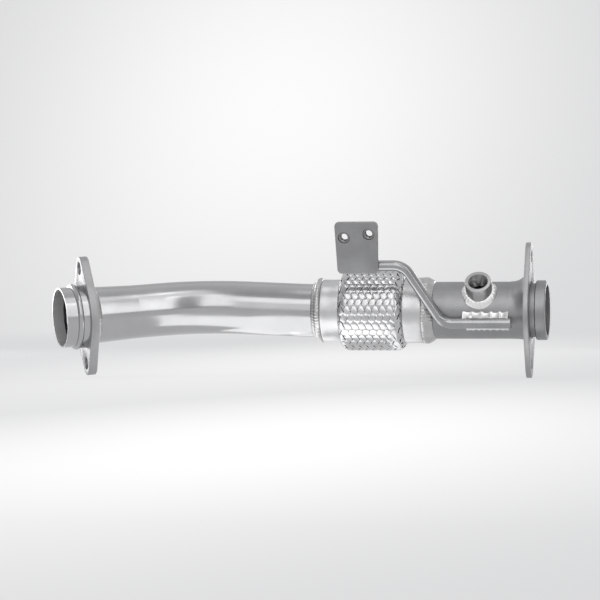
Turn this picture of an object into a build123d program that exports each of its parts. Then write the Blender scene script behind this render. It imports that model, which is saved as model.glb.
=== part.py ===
from build123d import *
import os
from math import asin, cos, pi, radians, sin, tan

# Exhaust flex pipe, in millimetres and degrees.
# +X runs along the flex and out of the outlet, +Z is up, and the bracket and the sensor boss are on
# the -Y side. The origin is the centre of the outlet flange's outer face.

# Tubes
tube_wall = 1.5
inlet_tube_od = 50.8
outlet_tube_od = 54.0

# Route of the inlet tube, from the flex to the inlet mouth
kink_gap = 0.5  # from the flex's bead to the start of the small upward kink
kink_rise = 2.5
kink_radius = 250.0
middle_run = 102.0
inlet_turn = 29.0  # the last run turns this far towards -Y
inlet_dip = 4.3  # and this far below the horizontal
bend_radius = 170.0
last_run = 143.0

# Flexible coupling
outlet_run = 101.7  # from the outlet flange's outer face to the flex's end
collar_length = 18.4
collar_gauge = 1.75
collar_edge = 0.6
flex_length = 60.4  # between the collars
tube_insertion = 12.0
liner_gauge = 0.8
liner_clearance = 0.4
liner_pitch = 6.0
liner_step = 1.0
liner_slope = 0.8
bellows_gauge = 0.5
bellows_clearance = 0.4
convolution_count = 7
convolution_slope = 0.8

# Woven sleeve: a closed wall with one raised float where each wire band passes over another
braid_od = 76.2
braid_gauge = 1.2
shoulder_tuck = 0.1  # how far the sleeve's shoulders reach inside the larger cuff
float_height = 0.7
band_count = 16  # wire bands of each hand round the sleeve
band_angle = 65.0  # from the pipe's axis
float_length = 10.0
float_width = 5.0
float_rise = 0.5  # at the float's middle; its ends stand float_height above the wall
float_root = 0.6  # how deep it is set into the wall
float_margin = 4.2  # from the end of the sleeve's body to the first float's middle

# Beads that join the flex to the tubes
inlet_bead_length = 9.0
inlet_bead_rise = 1.7  # above the collar
outlet_bead_length = 10.7
outlet_bead_rise = 0.4

# Inlet spigot, measured along its axis from the mouth
spigot_od = 57.0
spigot_wall = 1.6
bead_start = 10.5
bead_length = 5.2
bead_height = 2.8
shoulder_height = 1.45
inlet_flange_place = 22.0  # mouth to the flange's outer face
tube_in_spigot = 6.0
expansion_length = 42.0

# Inlet flange
inlet_flange_thickness = 8.0
inlet_bolt_spacing = 90.0
inlet_bolt_hole = 12.0
inlet_flange_width = 66.0
inlet_ear_radius = 11.3
inlet_fillet_leg = 4.0

# Outlet flange and spigot
outlet_flange_thickness = 5.0
outlet_bolt_spacing = 101.0
outlet_bolt_hole = 11.0
outlet_flange_width = 76.0
outlet_ear_radius = 13.5
tube_setback = 1.0  # the outlet tube ends this far inside its flange
outlet_fillet_length = 14.0
outlet_fillet_leg = 4.5
outlet_fillet_rise = 3.3  # the fillet is this much higher above the tube than below it
neck_insertion = 24.0
neck_length = 4.8
neck_wall = 1.6
ring_od = 56.4
ring_length = 10.1
ring_edge = 0.8

# Sensor boss
boss_place = 47.3  # from the outlet flange's outer face
boss_lean = 41.0  # above the horizontal, towards -Y
boss_od = 25.0
boss_reach = 41.5  # from the pipe's axis to the boss's mouth
boss_thread_bore = 16.4
boss_edge = 0.8
boss_countersink = 1.2
boss_tube_hole = 18.0
boss_weld_width = 4.6
boss_weld_height = 3.2
boss_weld_round = 2.4

# Hanger rod
rod_diameter = 10.0
rod_seat_angle = 22.0  # where the rod lies on the outlet tube, below the horizontal
rod_end_gap = 16.0  # from the outlet flange's outer face
rod_bead_gap = 10.0  # along the pipe, from the flex's bead to the corner of the rod's lower bend
rod_slope_run = 34.9
rod_reach = 42.5  # from the pipe's axis to the rod behind the plate, towards -Y
rod_height = 42.3
rod_far_run = 59.5
rod_low_bend = 16.0
rod_high_bend = 18.0
rod_weld_gap = 0.4  # from the outlet fillet to the beads along the rod
upper_weld_length = 43.0
lower_weld_length = 40.0
upper_weld_angle = 21.0  # how far round the tube each bead reaches from the rod's seat
lower_weld_angle = 24.0
rod_weld_lean = 30.0
rod_weld_root = 18.0  # the beads stop this far round the rod from where it touches the tube
rod_weld_bite = 0.5  # the beads are drawn this deep into the rod and the tube, then cut back

# Bracket plate, measured up the plate from the middle of the rod
plate_lean = 14.0
plate_thickness = 3.0
plate_below_rod = 6.0
plate_height = 49.8
plate_top_width = 41.5
plate_bottom_width = 38.5
plate_place = 17.2  # from the rod's far end to the plate's middle
plate_corner = 4.5
left_hole_offset = -12.0
left_hole_height = 28.8
right_hole_offset = 11.4
right_hole_height = 32.0
pilot_clearance = 0.1
plate_weld_start = 3.0  # from the rod's hidden end
plate_weld_length = 20.5

# Weld nuts
nut_across_flats = 14.0
nut_height = 6.5
nut_thread_bore = 6.7
nut_pilot = 10.5
nut_pilot_height = 1.8
nut_edge = 0.6

# Radii through the flex's two ends, each layer outside the last
inlet_tube_r = inlet_tube_od / 2
outlet_tube_r = outlet_tube_od / 2
inlet_liner_r = inlet_tube_r + liner_gauge
outlet_liner_r = outlet_tube_r + liner_gauge
inlet_bellows_r = inlet_liner_r + bellows_gauge
outlet_bellows_r = outlet_liner_r + bellows_gauge
inlet_braid_r = inlet_bellows_r + braid_gauge
outlet_braid_r = outlet_bellows_r + braid_gauge
inlet_collar_r = inlet_braid_r + collar_gauge
outlet_collar_r = outlet_braid_r + collar_gauge

# Places along the pipe
flex_right = -outlet_run
body_right = flex_right - collar_length
body_left = body_right - flex_length
flex_left = body_left - collar_length

# The inlet tube's route and its last run
leg = Vector(
    -cos(radians(inlet_turn)) * cos(radians(inlet_dip)),
    -sin(radians(inlet_turn)) * cos(radians(inlet_dip)),
    -sin(radians(inlet_dip)),
)
kink_start = flex_left - inlet_bead_length - kink_gap
kink = Vector(kink_start - kink_radius * tan(radians(kink_rise / 2)), 0, 0)
corner = kink + Vector(-cos(radians(kink_rise)), 0, sin(radians(kink_rise))) * middle_run
mouth = corner + leg * last_run
leg_up = (Vector(0, 0, 1) - leg * leg.Z).normalized()
leg_axis = Axis(mouth, leg)
leg_section = Plane(origin=mouth, x_dir=-leg, z_dir=(-leg).cross(leg_up))
spigot_r = spigot_od / 2
spigot_bore_r = spigot_r - spigot_wall
flange_outer = inlet_flange_place
flange_inner = flange_outer + inlet_flange_thickness
expansion_end = flange_inner + expansion_length
tube_end = flange_inner - tube_in_spigot

with BuildLine() as inlet_route:
    FilletPolyline(
        Vector(flex_left + tube_insertion, 0, 0),
        kink,
        corner,
        mouth - leg * expansion_end,
        radius=[kink_radius, bend_radius],
    )


def revolved(points, axis, plane):
    """The solid that a closed outline makes when it turns round an axis."""
    with BuildPart() as turned:
        with BuildSketch(plane):
            with BuildLine():
                Polyline(*points, close=True)
            make_face()
        revolve(axis=axis)
    return turned.part


def inlet_run(inset):
    """The inlet tube as a full rod, its surface lowered by inset."""
    with BuildPart() as run:
        with BuildSketch(Plane(origin=inlet_route.line @ 0, z_dir=inlet_route.line % 0)):
            Circle(inlet_tube_r - inset)
        sweep(path=inlet_route.line)
        add(
            revolved(
                [
                    (expansion_end, 0),
                    (expansion_end, inlet_tube_r - inset),
                    (flange_inner, spigot_bore_r - inset),
                    (tube_end, spigot_bore_r - inset),
                    (tube_end, 0),
                ],
                leg_axis,
                leg_section,
            )
        )
    return run.part


def finish(piece, name):
    piece.part.label = name
    export_step(piece.part, f"parts/{name}.step")


os.makedirs("parts", exist_ok=True)

# Inlet tube
inlet_core = inlet_run(0)
with BuildPart() as inlet_tube:
    add(inlet_core)
    add(inlet_run(tube_wall), mode=Mode.SUBTRACT)
finish(inlet_tube, "inlet_tube")

# Outlet tube, with the hole under the sensor boss
boss_direction = Vector(0, -cos(radians(boss_lean)), sin(radians(boss_lean)))
boss_plane = Plane(origin=(-boss_place, 0, 0), x_dir=(1, 0, 0), z_dir=boss_direction)
outlet_tube_left = flex_right - tube_insertion
with BuildPart() as outlet_core:
    with BuildSketch(Plane.YZ.offset(outlet_tube_left)):
        Circle(outlet_tube_r)
    extrude(amount=-tube_setback - outlet_tube_left)
with BuildPart() as outlet_tube:
    add(outlet_core.part)
    with BuildSketch(Plane.YZ.offset(outlet_tube_left)):
        Circle(outlet_tube_r - tube_wall)
    extrude(amount=outlet_run + tube_insertion, mode=Mode.SUBTRACT)
    with BuildSketch(boss_plane):
        Circle(boss_tube_hole / 2)
    extrude(amount=boss_reach, mode=Mode.SUBTRACT)
finish(outlet_tube, "outlet_tube")

# Strip-wound liner: two cuffs over the tube ends, and interlocked steps between them
liner_bore_r = inlet_tube_r - tube_wall + liner_clearance
liner_left = flex_left + tube_insertion + liner_clearance
liner_right = flex_right - tube_insertion - liner_clearance
liner_space = liner_right - liner_left - 2 * liner_pitch
liner_turns = int(liner_space // liner_pitch)
liner_start = liner_left + liner_pitch
with BuildPart() as interlock_liner:
    inner = [(flex_left, inlet_tube_r), (liner_left, inlet_tube_r), (liner_left, liner_bore_r)]
    outer = [(flex_left, inlet_liner_r), (liner_left + liner_gauge, inlet_liner_r)]
    outer.append((liner_left + liner_gauge, liner_bore_r + liner_gauge))
    for turn in range(liner_turns):
        begin = liner_start + turn * liner_pitch
        for place, rise in (
            (begin, 0),
            (begin + liner_pitch - liner_slope, liner_step),
        ):
            inner.append((place, liner_bore_r + rise))
            outer.append((place, liner_bore_r + liner_gauge + rise))
    inner.append((liner_start + liner_turns * liner_pitch, liner_bore_r))
    outer.append((liner_start + liner_turns * liner_pitch, liner_bore_r + liner_gauge))
    inner += [(liner_right - liner_gauge, liner_bore_r), (liner_right, outlet_tube_r)]
    inner.append((flex_right, outlet_tube_r))
    outer += [(liner_right - 2 * liner_gauge, liner_bore_r + liner_gauge)]
    outer += [(liner_right - liner_gauge, outlet_liner_r), (flex_right, outlet_liner_r)]
    add(revolved(inner + outer[::-1], Axis.X, Plane.XZ))
finish(interlock_liner, "interlock_liner")

# Bellows: two cuffs, and convolutions that clear the liner inside and the woven sleeve outside
braid_r = braid_od / 2 - float_height
braid_shoulder = braid_r - outlet_braid_r + shoulder_tuck
crest_r = braid_r - braid_gauge - bellows_clearance
waves_left = body_left + braid_shoulder - convolution_slope
waves_right = body_right - braid_shoulder + convolution_slope
wave_pitch = (waves_right - waves_left) / convolution_count
wave_flat = (wave_pitch - 2 * convolution_slope) / 2
with BuildPart() as bellows:
    outer = [(flex_left, inlet_bellows_r), (waves_left, inlet_bellows_r)]
    inner = [(flex_left, inlet_liner_r), (waves_left + bellows_gauge, inlet_liner_r)]
    for wave in range(convolution_count):
        begin = waves_left + wave * wave_pitch
        rise_end = begin + convolution_slope
        fall_start = rise_end + wave_flat
        fall_end = fall_start + convolution_slope
        outer += [(rise_end, crest_r), (fall_start, crest_r)]
        inner += [(rise_end + bellows_gauge, crest_r - bellows_gauge)]
        inner += [(fall_start - bellows_gauge, crest_r - bellows_gauge)]
        outer += [(fall_end, outlet_bellows_r)]
        inner += [(fall_end - bellows_gauge, outlet_liner_r)]
        if wave < convolution_count - 1:
            outer += [(begin + wave_pitch, outlet_bellows_r)]
            inner += [(begin + wave_pitch + bellows_gauge, outlet_liner_r)]
    outer.append((flex_right, outlet_bellows_r))
    inner.append((flex_right, outlet_liner_r))
    add(revolved(inner + outer[::-1], Axis.X, Plane.XZ))
finish(bellows, "bellows")


# Woven sleeve
def sleeve_wall():
    """The sleeve from collar to collar, a closed wall with rounded shoulders."""
    shoulder_r = braid_r - braid_shoulder
    hollow = braid_shoulder - braid_gauge
    left_centre = body_left + braid_shoulder
    right_centre = body_right - braid_shoulder
    diagonal = sin(radians(45))
    with BuildPart() as sleeve:
        with BuildSketch(Plane.XZ):
            with BuildLine():
                Polyline(
                    (body_left, shoulder_r),
                    (body_left, inlet_braid_r),
                    (flex_left, inlet_braid_r),
                    (flex_left, inlet_bellows_r),
                    (body_left + braid_gauge, inlet_bellows_r),
                    (body_left + braid_gauge, shoulder_r),
                )
                ThreePointArc(
                    (body_left + braid_gauge, shoulder_r),
                    (left_centre - hollow * diagonal, shoulder_r + hollow * diagonal),
                    (left_centre, shoulder_r + hollow),
                )
                Line((left_centre, shoulder_r + hollow), (right_centre, shoulder_r + hollow))
                ThreePointArc(
                    (right_centre, shoulder_r + hollow),
                    (right_centre + hollow * diagonal, shoulder_r + hollow * diagonal),
                    (body_right - braid_gauge, shoulder_r),
                )
                Polyline(
                    (body_right - braid_gauge, shoulder_r),
                    (body_right - braid_gauge, outlet_bellows_r),
                    (flex_right, outlet_bellows_r),
                    (flex_right, outlet_braid_r),
                    (body_right, outlet_braid_r),
                    (body_right, shoulder_r),
                )
                ThreePointArc(
                    (body_right, shoulder_r),
                    (right_centre + braid_shoulder * diagonal, shoulder_r + braid_shoulder * diagonal),
                    (right_centre, braid_r),
                )
                Line((right_centre, braid_r), (left_centre, braid_r))
                ThreePointArc(
                    (left_centre, braid_r),
                    (left_centre - braid_shoulder * diagonal, shoulder_r + braid_shoulder * diagonal),
                    (body_left, shoulder_r),
                )
            make_face()
        revolve(axis=Axis.X)
    return sleeve.part


# The bands cross on a diamond grid; where two cross, the upper one shows as a slanted float
column_pitch = 2 * pi * braid_r / band_count / tan(radians(band_angle))
float_columns = 1 + int((flex_length - 2 * float_margin) // column_pitch)
float_outline = [
    (-float_length / 2, 0),
    (0, -float_width / 2),
    (float_length / 2, 0),
    (0, float_width / 2),
]


def float_planes(columns, first_angle):
    """A plane on the wall for each float of one hand, its z outwards and its x along the sleeve."""
    planes = []
    for column in range(columns):
        offset = (column - (columns - 1) / 2) * column_pitch
        past = max(0, abs(offset) - flex_length / 2 + braid_shoulder)
        tip = asin(past / braid_shoulder) * (1 if offset > 0 else -1)
        place = (body_left + body_right) / 2 + offset
        wall_r = braid_r - braid_shoulder * (1 - cos(tip))
        for row in range(band_count):
            angle = radians(first_angle + row * 360 / band_count)
            outward = Vector(0, cos(angle), sin(angle))
            along = Vector(1, 0, 0)
            planes.append(
                Plane(
                    origin=along * place + outward * wall_r,
                    x_dir=along * cos(tip) - outward * sin(tip),
                    z_dir=outward * cos(tip) + along * sin(tip),
                )
            )
    return planes


with BuildPart() as outer_braid:
    add(sleeve_wall())
    for columns, first_angle, hand in (
        (float_columns, 0, 1),
        (float_columns - 1, 180 / band_count, -1),
    ):
        with BuildSketch(*[plane.offset(-float_root) for plane in float_planes(columns, first_angle)]):
            Polygon(*float_outline, rotation=hand * band_angle, align=None)
        extrude(amount=float_root + float_rise)
finish(outer_braid, "outer_braid")

# Collars pressed over the ends of the woven sleeve
for name, start, bore_r, ring_r in (
    ("inlet_collar", flex_left, inlet_braid_r, inlet_collar_r),
    ("outlet_collar", body_right, outlet_braid_r, outlet_collar_r),
):
    with BuildPart() as collar:
        with BuildSketch(Plane.YZ.offset(start)):
            Circle(ring_r)
            Circle(bore_r, mode=Mode.SUBTRACT)
        extrude(amount=collar_length)
        chamfer(collar.edges().filter_by(GeomType.CIRCLE).group_by(SortBy.RADIUS)[-1], collar_edge)
    finish(collar, name)


# Beads between the flex and the tubes
def collar_bead(face, length, rise, tube_r, collar_r):
    """A rounded bead on the flex's end face that runs down to the tube; length is signed along X."""
    toe = face + length
    crest = face + length / 3
    brow = face + length * 0.62
    brow_r = collar_r - (collar_r - tube_r) / 3
    with BuildPart() as bead:
        with BuildSketch(Plane.XZ):
            with BuildLine():
                Polyline((toe, tube_r), (face, tube_r), (face, collar_r))
                ThreePointArc((face, collar_r), (crest, collar_r + rise), (brow, brow_r))
                Line((brow, brow_r), (toe, tube_r))
            make_face()
        revolve(axis=Axis.X)
    return bead.part


with BuildPart() as inlet_collar_weld:
    add(collar_bead(flex_left, -inlet_bead_length, inlet_bead_rise, inlet_tube_r, inlet_collar_r))
finish(inlet_collar_weld, "inlet_collar_weld")
with BuildPart() as outlet_collar_weld:
    add(collar_bead(flex_right, outlet_bead_length, outlet_bead_rise, outlet_tube_r, outlet_collar_r))
finish(outlet_collar_weld, "outlet_collar_weld")

# Inlet spigot: a thin sleeve with a rolled bead and a shoulder that sits on the flange
bead_middle = bead_start + bead_length / 2
bead_end = bead_start + bead_length
shoulder_r = spigot_r + shoulder_height
with BuildPart() as inlet_spigot:
    with BuildSketch(leg_section):
        with BuildLine():
            Line((0, spigot_r), (bead_start, spigot_r))
            ThreePointArc(
                (bead_start, spigot_r),
                (bead_middle, spigot_r + bead_height),
                (bead_end, shoulder_r),
            )
            Polyline(
                (bead_end, shoulder_r),
                (flange_outer, shoulder_r),
                (flange_outer, spigot_r),
                (flange_inner, spigot_r),
                (flange_inner, spigot_bore_r),
                (flange_outer - spigot_wall, spigot_bore_r),
                (flange_outer - spigot_wall, shoulder_r - spigot_wall),
                (bead_end, shoulder_r - spigot_wall),
            )
            ThreePointArc(
                (bead_end, shoulder_r - spigot_wall),
                (bead_middle, spigot_bore_r + bead_height),
                (bead_start, spigot_bore_r),
            )
            Polyline((bead_start, spigot_bore_r), (0, spigot_bore_r), (0, spigot_r))
        make_face()
    revolve(axis=leg_axis)
finish(inlet_spigot, "inlet_spigot")


# Flanges: a round middle and two ears
def flange_plate(plane, width, spacing, ear_radius, thickness, bore_r, hole):
    """A two-bolt plate on a plane whose x runs from bolt to bolt."""
    with BuildPart() as plate:
        with BuildSketch(plane):
            with BuildSketch(mode=Mode.ADD):
                Circle(width / 2)
                with Locations((spacing / 2, 0), (-spacing / 2, 0)):
                    Circle(ear_radius)
                make_hull()
            Circle(bore_r, mode=Mode.SUBTRACT)
            with Locations((spacing / 2, 0), (-spacing / 2, 0)):
                Circle(hole / 2, mode=Mode.SUBTRACT)
        extrude(amount=thickness)
    return plate.part


inlet_flange_plane = Plane(origin=mouth - leg * flange_outer, x_dir=leg_up, z_dir=-leg)
with BuildPart() as inlet_flange:
    add(
        flange_plate(
            inlet_flange_plane,
            inlet_flange_width,
            inlet_bolt_spacing,
            inlet_ear_radius,
            inlet_flange_thickness,
            spigot_r,
            inlet_bolt_hole,
        )
    )
finish(inlet_flange, "inlet_flange")

outlet_flange_plane = Plane(origin=(0, 0, 0), x_dir=(0, 0, 1), z_dir=(-1, 0, 0))
with BuildPart() as outlet_flange:
    add(
        flange_plate(
            outlet_flange_plane,
            outlet_flange_width,
            outlet_bolt_spacing,
            outlet_ear_radius,
            outlet_flange_thickness,
            outlet_tube_r,
            outlet_bolt_hole,
        )
    )
finish(outlet_flange, "outlet_flange")

# Fillet between the inlet flange and its tube
toe_drop = (spigot_bore_r - inlet_tube_r) * inlet_fillet_leg / expansion_length
with BuildPart() as inlet_flange_weld:
    add(
        revolved(
            [
                (flange_inner, spigot_bore_r),
                (flange_inner, spigot_bore_r + inlet_fillet_leg),
                (flange_inner + inlet_fillet_leg / 2, spigot_bore_r + inlet_fillet_leg * 0.7),
                (flange_inner + inlet_fillet_leg, spigot_bore_r - toe_drop),
            ],
            leg_axis,
            leg_section,
        )
    )
finish(inlet_flange_weld, "inlet_flange_weld")

# Outlet spigot: a neck inside the tube's end, and a thick end ring
neck_r = outlet_tube_r - tube_wall
with BuildPart() as outlet_spigot:
    add(
        revolved(
            [
                (-neck_insertion, neck_r - neck_wall),
                (-neck_insertion, neck_r),
                (neck_length, neck_r),
                (neck_length, ring_od / 2),
                (neck_length + ring_length, ring_od / 2),
                (neck_length + ring_length, neck_r - neck_wall),
            ],
            Axis.X,
            Plane.XZ,
        )
    )
    ring_edges = outlet_spigot.edges().filter_by(GeomType.CIRCLE).group_by(SortBy.RADIUS)[-1]
    chamfer(ring_edges, ring_edge)
finish(outlet_spigot, "outlet_spigot")

# Sensor boss, shaped to the tube that it stands on
with BuildPart() as sensor_boss:
    with BuildSketch(boss_plane):
        Circle(boss_od / 2)
    extrude(amount=boss_reach)
    mouth_edge = sensor_boss.edges().filter_by(GeomType.CIRCLE).sort_by(Axis((0, 0, 0), boss_direction))[-1]
    chamfer(mouth_edge, boss_edge)
    with BuildSketch(boss_plane.offset(boss_reach)):
        Circle(boss_thread_bore / 2)
    extrude(amount=-boss_reach, mode=Mode.SUBTRACT)
    rim = sensor_boss.edges().filter_by(GeomType.CIRCLE).group_by(Axis((0, 0, 0), boss_direction))[-1]
    chamfer(rim.sort_by(SortBy.RADIUS)[0], boss_countersink)
    add(outlet_core.part, mode=Mode.SUBTRACT)
finish(sensor_boss, "sensor_boss")

with BuildPart() as sensor_boss_weld:
    with BuildSketch(boss_plane):
        Circle(boss_od / 2 + boss_weld_width)
    extrude(amount=boss_reach)
    with BuildPart(mode=Mode.INTERSECT):
        with BuildSketch(Plane.YZ.offset(-outlet_run)):
            Circle(outlet_tube_r + boss_weld_height)
        extrude(amount=outlet_run)
    crown = sensor_boss_weld.faces().sort_by(Axis((0, 0, 0), boss_direction))[-1]
    fillet(crown.edges(), boss_weld_round)
    with BuildSketch(boss_plane):
        Circle(boss_od / 2)
    extrude(amount=boss_reach, mode=Mode.SUBTRACT)
    add(outlet_core.part, mode=Mode.SUBTRACT)
finish(sensor_boss_weld, "sensor_boss_weld")

# Hanger rod
rod_r = rod_diameter / 2
seat_reach = outlet_tube_r + rod_r
rod_seat_length = outlet_run - outlet_bead_length - rod_bead_gap - rod_end_gap
seat_y = -seat_reach * cos(radians(rod_seat_angle))
seat_z = -seat_reach * sin(radians(rod_seat_angle))
rod_end = Vector(-rod_end_gap, seat_y, seat_z)
low_corner = rod_end - Vector(rod_seat_length, 0, 0)
high_corner = Vector(low_corner.X - rod_slope_run, -rod_reach, rod_height)
rod_start = high_corner - Vector(rod_far_run, 0, 0)
with BuildPart() as bracket_rod:
    with BuildLine() as rod_route:
        FilletPolyline(
            rod_start,
            high_corner,
            low_corner,
            rod_end,
            radius=[rod_high_bend, rod_low_bend],
        )
    with BuildSketch(Plane(origin=rod_start, z_dir=(1, 0, 0))):
        Circle(rod_r)
    sweep(path=rod_route.line)
finish(bracket_rod, "bracket_rod")


# Beads along the rod's seat
rod_weld_start = outlet_flange_thickness + outlet_fillet_length + rod_weld_gap
seat = Vector(seat_y, seat_z)


def seat_bead(reach, length):
    """A bead from the rod down to the tube, reach degrees round the tube from the rod's seat."""
    side = 1 if reach > 0 else -1
    brow = Vector(1, 0).rotate(Axis.Z, (90 + rod_weld_lean) * side) * rod_r
    root = Vector(1, 0).rotate(Axis.Z, rod_seat_angle + rod_weld_root * side)
    foot = Vector(-1, 0).rotate(Axis.Z, rod_seat_angle - reach) * outlet_tube_r
    in_rod = seat + root * (rod_r - rod_weld_bite)
    in_tube = (seat + root * rod_r).normalized() * (outlet_tube_r - rod_weld_bite)
    with BuildPart() as bead:
        with BuildSketch(Plane.YZ.offset(-rod_weld_start - length)):
            with BuildLine():
                Polyline(seat + brow, in_rod, in_tube, foot, close=True)
            make_face()
            Circle(outlet_tube_r, mode=Mode.SUBTRACT)
            with Locations(seat):
                Circle(rod_r, mode=Mode.SUBTRACT)
        extrude(amount=length)
    return bead.part


with BuildPart() as rod_upper_weld:
    add(seat_bead(upper_weld_angle, upper_weld_length))
finish(rod_upper_weld, "rod_upper_weld")
with BuildPart() as rod_lower_weld:
    add(seat_bead(-lower_weld_angle, lower_weld_length))
finish(rod_lower_weld, "rod_lower_weld")

# Fillet between the outlet flange and its tube, higher above the tube than below it
with BuildPart() as outlet_flange_weld:
    flange_face = -outlet_flange_thickness
    for share, growth in ((1, 0.05), (0.45, 0.25), (0, 1)):
        with BuildSketch(Plane.YZ.offset(flange_face - share * outlet_fillet_length)):
            with Locations((0, growth * outlet_fillet_rise)):
                Circle(outlet_tube_r + outlet_fillet_leg * growth)
    loft()
    add(outlet_core.part, mode=Mode.SUBTRACT)
    with BuildSketch(Plane.YZ.offset(-rod_end_gap)):
        with Locations(seat):
            Circle(rod_r)
    extrude(amount=-rod_seat_length, mode=Mode.SUBTRACT)
finish(outlet_flange_weld, "outlet_flange_weld")

# Bracket plate: its back face lies against the rod
plate_normal = Vector(0, -cos(radians(plate_lean)), -sin(radians(plate_lean)))
plate_back = Plane(
    origin=rod_start + Vector(plate_place, 0, 0) + plate_normal * rod_r,
    x_dir=(1, 0, 0),
    z_dir=plate_normal,
)
plate_top = plate_height - plate_below_rod
hole_places = {
    "left": (left_hole_offset, left_hole_height),
    "right": (right_hole_offset, right_hole_height),
}
with BuildPart() as bracket_plate:
    with BuildSketch(plate_back) as plate_sketch:
        with BuildLine():
            Polyline(
                (-plate_bottom_width / 2, -plate_below_rod),
                (plate_bottom_width / 2, -plate_below_rod),
                (plate_top_width / 2, plate_top),
                (-plate_top_width / 2, plate_top),
                close=True,
            )
        make_face()
        fillet(plate_sketch.vertices(), plate_corner)
        with Locations(*hole_places.values()):
            Circle(nut_pilot / 2 + pilot_clearance, mode=Mode.SUBTRACT)
    extrude(amount=plate_thickness)
finish(bracket_plate, "bracket_plate")

# Weld nuts behind the plate, their pilots in its holes
for side, (across, up) in hole_places.items():
    nut_seat = Plane(
        origin=plate_back.from_local_coords((across, up, 0)),
        x_dir=(1, 0, 0),
        z_dir=plate_normal,
    )
    with BuildPart() as weld_nut:
        with BuildSketch(nut_seat.offset(-nut_height)):
            RegularPolygon(nut_across_flats / 2, 6, major_radius=False)
        extrude(amount=nut_height)
        with BuildSketch(nut_seat):
            Circle(nut_pilot / 2)
        extrude(amount=nut_pilot_height)
        with BuildSketch(nut_seat.offset(nut_pilot_height)):
            Circle(nut_thread_bore / 2)
        extrude(amount=-nut_height - nut_pilot_height, mode=Mode.SUBTRACT)
        bore_rims = weld_nut.edges().filter_by(GeomType.CIRCLE).group_by(SortBy.RADIUS)[0]
        chamfer(bore_rims, nut_edge)
    finish(weld_nut, f"{side}_weld_nut")

# Bead under the plate's lower edge, between the plate and the rod
with BuildPart() as plate_rod_weld:
    rod_section = Plane(
        origin=rod_start + Vector(plate_weld_start + plate_weld_length, 0, 0),
        x_dir=plate_normal,
        z_dir=(-1, 0, 0),
    )
    with BuildSketch(rod_section):
        with BuildLine():
            Polyline(
                (0, 0),
                (rod_r, 0),
                (rod_r, -plate_below_rod),
                (rod_r + plate_thickness / 2, -plate_below_rod),
                (rod_r + plate_thickness / 3, -plate_below_rod - plate_thickness * 0.8),
                (rod_r * 0.6, -plate_below_rod - plate_thickness * 0.7),
                (0, -rod_r),
                close=True,
            )
        make_face()
    extrude(amount=plate_weld_length)
    add(bracket_rod.part, mode=Mode.SUBTRACT)
finish(plate_rod_weld, "plate_rod_weld")
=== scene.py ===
"""Exhaust flex pipe: the visible pieces and finishes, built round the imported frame."""

from math import acos, atan2, cos, pi, radians, sin, sqrt, tan
from random import Random

import bmesh
import bpy
from bpy.props import FloatProperty, FloatVectorProperty, IntProperty, PointerProperty
from mathutils import Matrix, Vector


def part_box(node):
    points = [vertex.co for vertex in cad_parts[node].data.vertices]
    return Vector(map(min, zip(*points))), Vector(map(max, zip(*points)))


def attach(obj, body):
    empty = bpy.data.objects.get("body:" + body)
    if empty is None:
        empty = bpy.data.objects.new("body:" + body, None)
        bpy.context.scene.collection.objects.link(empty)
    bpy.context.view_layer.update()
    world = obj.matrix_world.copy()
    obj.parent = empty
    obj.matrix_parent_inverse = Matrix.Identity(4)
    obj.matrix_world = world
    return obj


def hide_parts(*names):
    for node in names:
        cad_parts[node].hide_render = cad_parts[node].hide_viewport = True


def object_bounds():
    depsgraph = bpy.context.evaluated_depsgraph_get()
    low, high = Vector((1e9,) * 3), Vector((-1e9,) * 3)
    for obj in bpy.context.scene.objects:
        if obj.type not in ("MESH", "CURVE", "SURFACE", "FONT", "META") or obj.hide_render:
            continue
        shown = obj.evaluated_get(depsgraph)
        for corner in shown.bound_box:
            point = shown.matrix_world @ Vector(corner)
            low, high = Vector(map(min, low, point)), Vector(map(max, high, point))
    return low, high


bl_info = {
    "name": "Exhaust Flex Pipe",
    "version": (1, 0, 0),
    "blender": (4, 5, 0),
    "location": "3D View > Sidebar > Exhaust",
    "description": "Woven flex, weld beads, flanges, hanger and finishes of an exhaust flex pipe",
    "category": "Object",
}

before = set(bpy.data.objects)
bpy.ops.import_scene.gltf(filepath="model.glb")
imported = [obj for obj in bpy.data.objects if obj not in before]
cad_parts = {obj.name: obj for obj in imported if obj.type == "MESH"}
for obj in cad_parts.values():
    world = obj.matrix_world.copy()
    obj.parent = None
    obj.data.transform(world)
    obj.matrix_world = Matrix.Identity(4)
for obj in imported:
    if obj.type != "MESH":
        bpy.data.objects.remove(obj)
CAD_BOX = [list(corner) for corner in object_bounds()]
MM = 0.001
ALONG = Vector((1, 0, 0))
UP = Vector((0, 0, 1))


def box_middle(node):
    low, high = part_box(node)
    return (low + high) / 2


def box_radius(node):
    """The radius of a round node that lies along X."""
    low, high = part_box(node)
    return (high.z - low.z) / 2


# Sizes read from the frame
OUTLET_TUBE_R = box_radius("outlet_tube")
SLEEVE_R = box_radius("outer_braid")
FLEX_LEFT, BODY_LEFT = [corner.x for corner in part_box("inlet_collar")]
BODY_RIGHT, FLEX_RIGHT = [corner.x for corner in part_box("outlet_collar")]
FLOOR_Z = CAD_BOX[0][2]

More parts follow.
